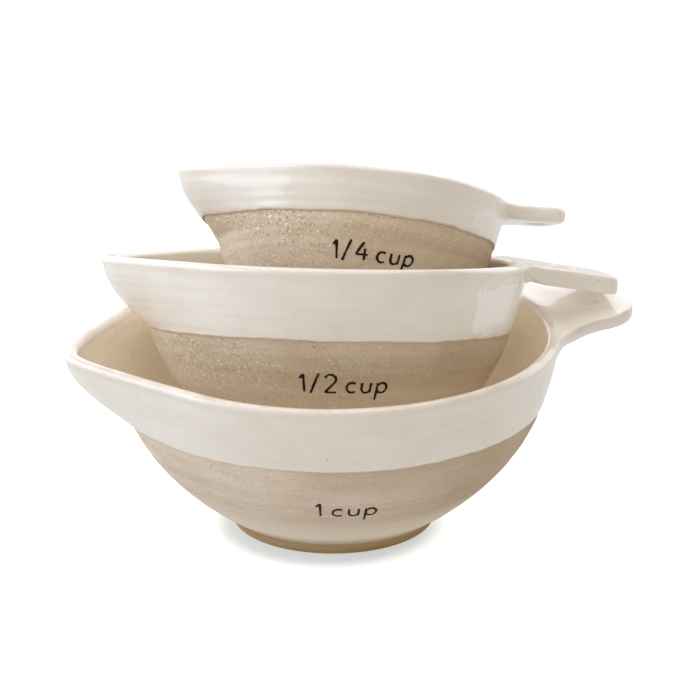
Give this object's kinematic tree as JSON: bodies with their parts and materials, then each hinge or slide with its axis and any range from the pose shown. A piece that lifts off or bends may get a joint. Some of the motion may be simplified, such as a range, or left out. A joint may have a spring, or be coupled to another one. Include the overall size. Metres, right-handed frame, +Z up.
{
  "type": "measuring cup set",
  "caption": "Nesting stoneware measuring cups with pouring spouts, drilled tab handles, glazed insides and rims, and bare lower walls marked with their capacities.",
  "frame": {"origin": "centre of the one cup's foot, on the face it stands on", "axes": "+Z up; +X from the one cup's spout towards its handle, so that the capacity marks face -Y and a little to -X"},
  "size_m": [0.1464, 0.1136, 0.0963],
  "materials": {
    "stoneware": "bare fired sandy beige stoneware, matte, with pale and dark speckles and fine throwing lines",
    "glaze": "glossy warm cream glaze, tan where it pools inside and thins over edges",
    "mark": "brush-thin brown-black underglaze line, satin"
  },
  "bodies": {
    "one_cup": {"one_cup_bowl": "stoneware", "one_cup_glaze": "glaze", "one_cup_handle": "glaze", "one_cup_mark_1": "mark", "one_cup_mark_c": "mark", "one_cup_mark_u": "mark", "one_cup_mark_p": "mark"},
    "half_cup": {"half_cup_bowl": "stoneware", "half_cup_glaze": "glaze", "half_cup_handle": "glaze", "half_cup_mark_1": "mark", "half_cup_mark_slash": "mark", "half_cup_mark_2": "mark", "half_cup_mark_c": "mark", "half_cup_mark_u": "mark", "half_cup_mark_p": "mark"},
    "quarter_cup": {"quarter_cup_bowl": "stoneware", "quarter_cup_glaze": "glaze", "quarter_cup_handle": "glaze", "quarter_cup_mark_1": "mark", "quarter_cup_mark_slash": "mark", "quarter_cup_mark_4": "mark", "quarter_cup_mark_c": "mark", "quarter_cup_mark_u": "mark", "quarter_cup_mark_p": "mark"}
  },
  "joints": [
    {"name": "half_cup_lift", "type": "slide", "parent": "one_cup", "child": "half_cup", "axis": [0, 0, 1], "range_m": [0, 0.1]},
    {"name": "quarter_cup_lift", "type": "slide", "parent": "half_cup", "child": "quarter_cup", "axis": [0, 0, 1], "range_m": [0, 0.08]}
  ]
}
